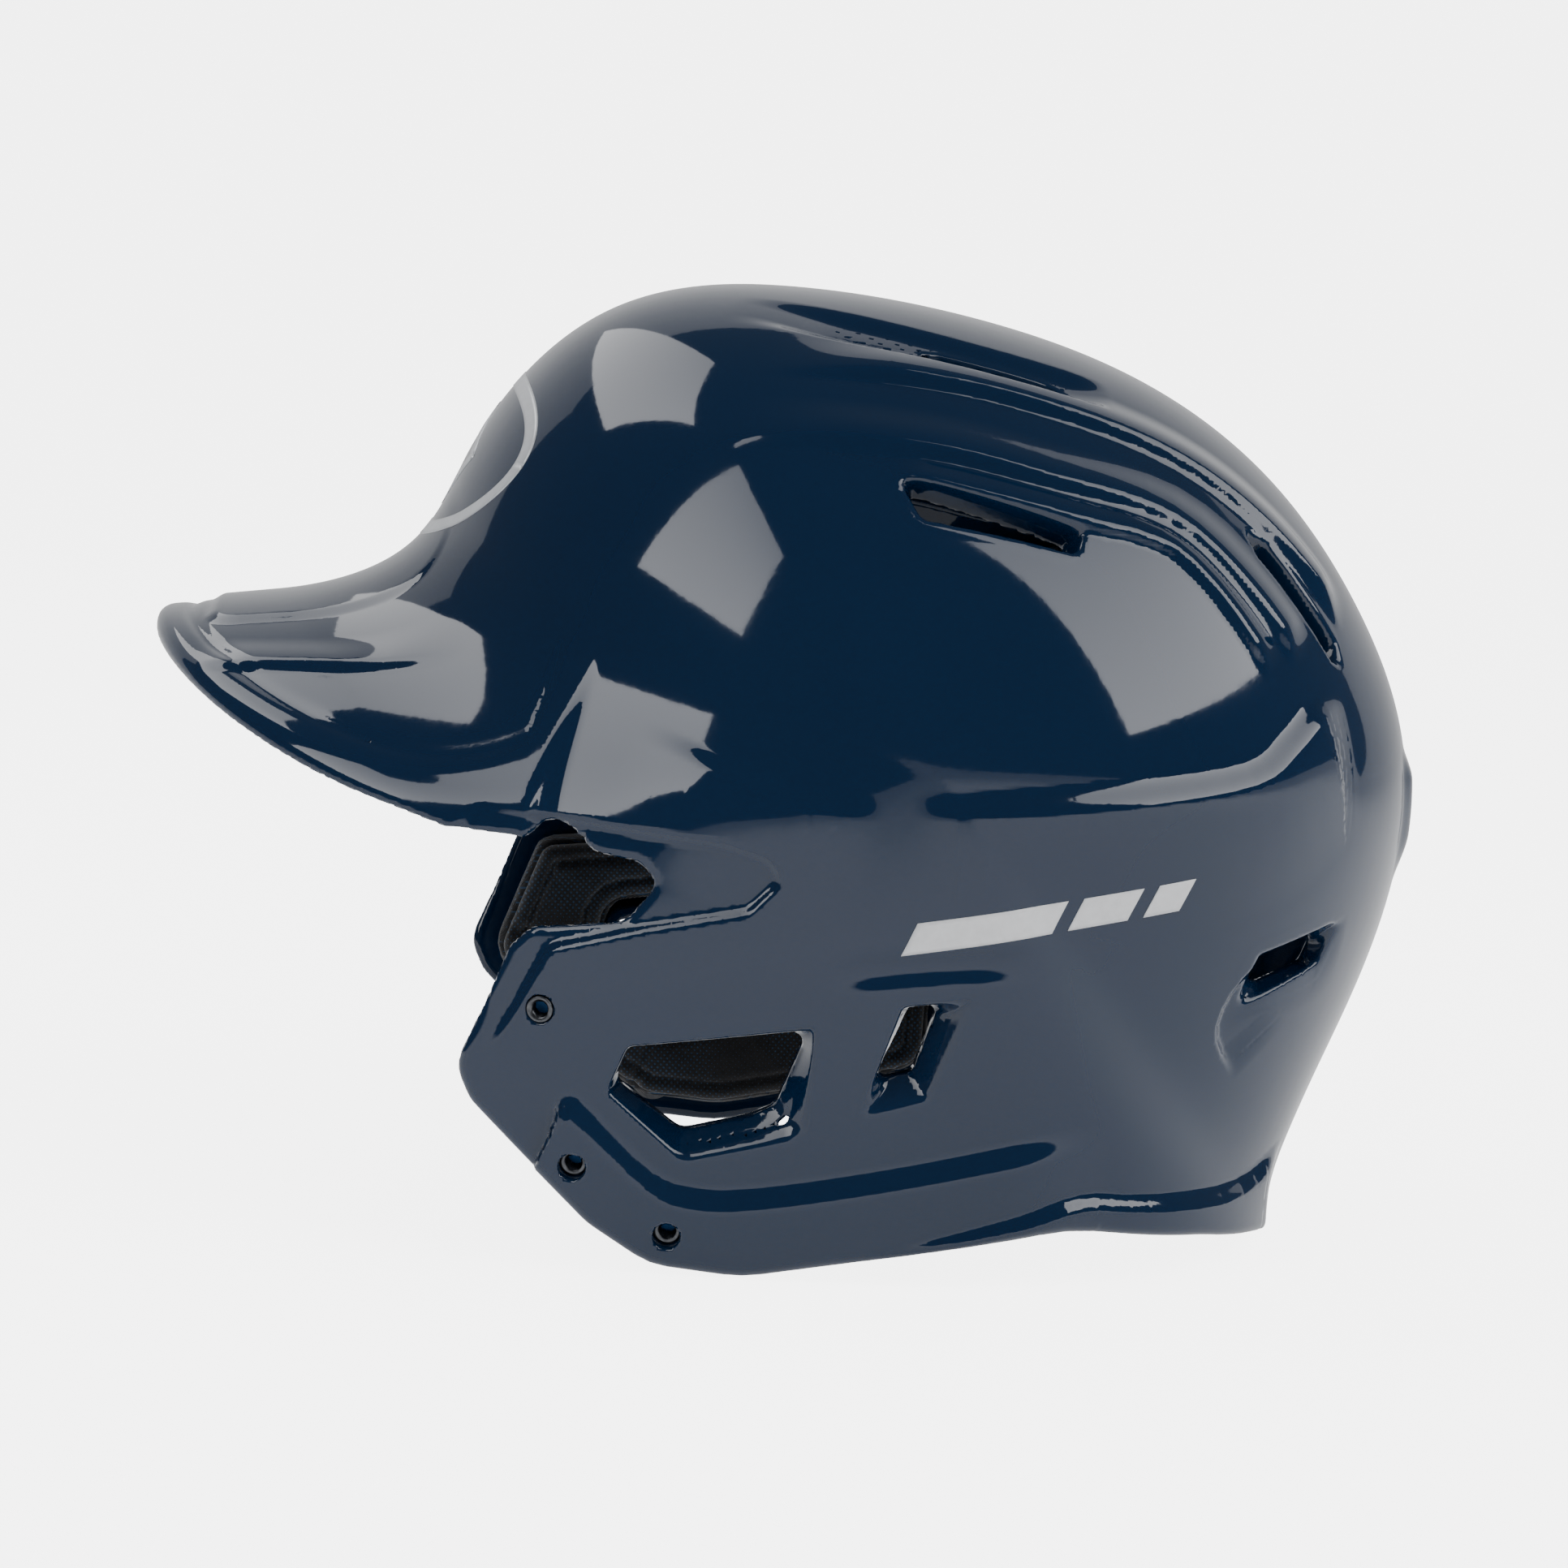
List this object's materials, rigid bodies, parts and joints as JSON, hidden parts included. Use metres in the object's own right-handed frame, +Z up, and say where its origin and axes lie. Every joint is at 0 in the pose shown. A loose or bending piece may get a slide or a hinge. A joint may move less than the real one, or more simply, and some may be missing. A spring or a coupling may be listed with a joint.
{
  "type": "batting helmet",
  "caption": "Hard moulded batting helmet with a short curved brim, two ear flaps with ear holes, slots and vents, padded liner and threaded inserts for a face guard.",
  "frame": {"origin": "middle of the helmet's length and width, at the height of the ear flaps' lowest point", "axes": "+Z up over the crown, -Y forwards over the brim, +X to the wearer's left"},
  "size_m": [0.2004, 0.2888, 0.2108],
  "materials": {
    "shell_plastic": "high gloss navy ABS, moulded, no texture",
    "insert_metal": "nickel-plated threaded insert",
    "firm_foam": "blue closed-cell impact foam, matt",
    "pad_fabric": "black perforated knit laminated over soft foam, blue showing in the holes",
    "silver_film": "satin silver decal film",
    "white_film": "satin white decal film"
  },
  "bodies": {
    "root": {"shell": "shell_plastic", "left_guard_inserts": "insert_metal", "right_guard_inserts": "insert_metal", "front_foam": "firm_foam", "front_pad": "pad_fabric", "crown_foam": "firm_foam", "crown_pad": "pad_fabric", "left_temple_foam": "firm_foam", "left_temple_pad": "pad_fabric", "right_temple_foam": "firm_foam", "right_temple_pad": "pad_fabric", "left_rear_side_foam": "firm_foam", "left_rear_side_pad": "pad_fabric", "right_rear_side_foam": "firm_foam", "right_rear_side_pad": "pad_fabric", "rear_foam": "firm_foam", "rear_pad": "pad_fabric", "nape_foam": "firm_foam", "nape_pad": "pad_fabric", "left_ear_foam": "firm_foam", "left_ear_pad": "pad_fabric", "right_ear_foam": "firm_foam", "right_ear_pad": "pad_fabric", "front_badge": "silver_film", "left_stripes": "white_film", "right_stripes": "white_film", "rear_badge": "white_film"}
  },
  "joints": []
}
